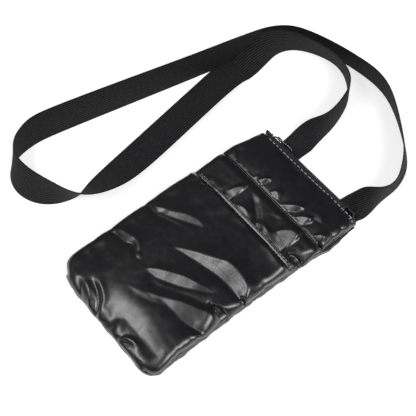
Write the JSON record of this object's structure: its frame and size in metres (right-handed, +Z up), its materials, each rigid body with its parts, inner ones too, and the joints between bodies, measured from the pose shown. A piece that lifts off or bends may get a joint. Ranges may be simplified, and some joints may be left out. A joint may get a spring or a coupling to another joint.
{
  "type": "padded crossbody pouch",
  "caption": "Flat padded pouch of glossy quilted fabric with a zip top, a slip pocket on its front and a long webbing shoulder strap.",
  "frame": {"origin": "on the table below the middle of the pouch, which lies on its back; the free strap isn't counted", "axes": "+X across the pouch, +Y from its bottom edge to its zip, +Z up out of its front"},
  "size_m": [0.2317, 0.3118, 0.0301],
  "materials": {
    "shell": "glossy coated satin weave",
    "wadding": "soft fibre fill",
    "lining": "plain matt weave",
    "binding": "folded woven tape",
    "tape": "ribbed woven tape",
    "coil": "moulded coil",
    "metal": "dark nickel plating",
    "thread": "twisted sewing thread",
    "webbing": "ribbed woven webbing"
  },
  "bodies": {
    "pouch": {"back_shell": "shell", "back_wadding": "wadding", "back_lining": "lining", "front_shell": "shell", "front_wadding": "wadding", "front_lining": "lining", "pocket_shell": "shell", "pocket_wadding": "wadding", "pocket_lining": "lining", "pocket_hem": "shell", "edge_binding": "binding", "binding_stitch": "thread", "zip_tape_front": "tape", "zip_tape_back": "tape", "zip_coil_front": "coil", "zip_coil_back": "coil", "zip_top_stop_front": "metal", "zip_top_stop_back": "metal", "zip_bottom_stop": "metal", "zip_end_tab_left": "binding", "zip_end_tab_right": "binding", "quilt_stitch": "thread", "zip_topstitch": "thread", "hem_stitch_upper": "thread", "hem_stitch_lower": "thread", "strap_webbing": "webbing", "strap_stitch_left": "thread", "strap_stitch_right": "thread"},
    "slider": {"slider_body": "metal"},
    "puller": {"zip_puller": "metal"}
  },
  "joints": [
    {"name": "zip_slide", "type": "slide", "parent": "pouch", "child": "slider", "axis": [1, 0, 0], "range_m": [0, 0.0755]},
    {"name": "puller_hinge", "type": "hinge", "parent": "slider", "child": "puller", "pos_m": [-0.0378, 0.1032, 0.00705], "axis": [0, 0, 1], "range_deg": [0, 180]}
  ]
}
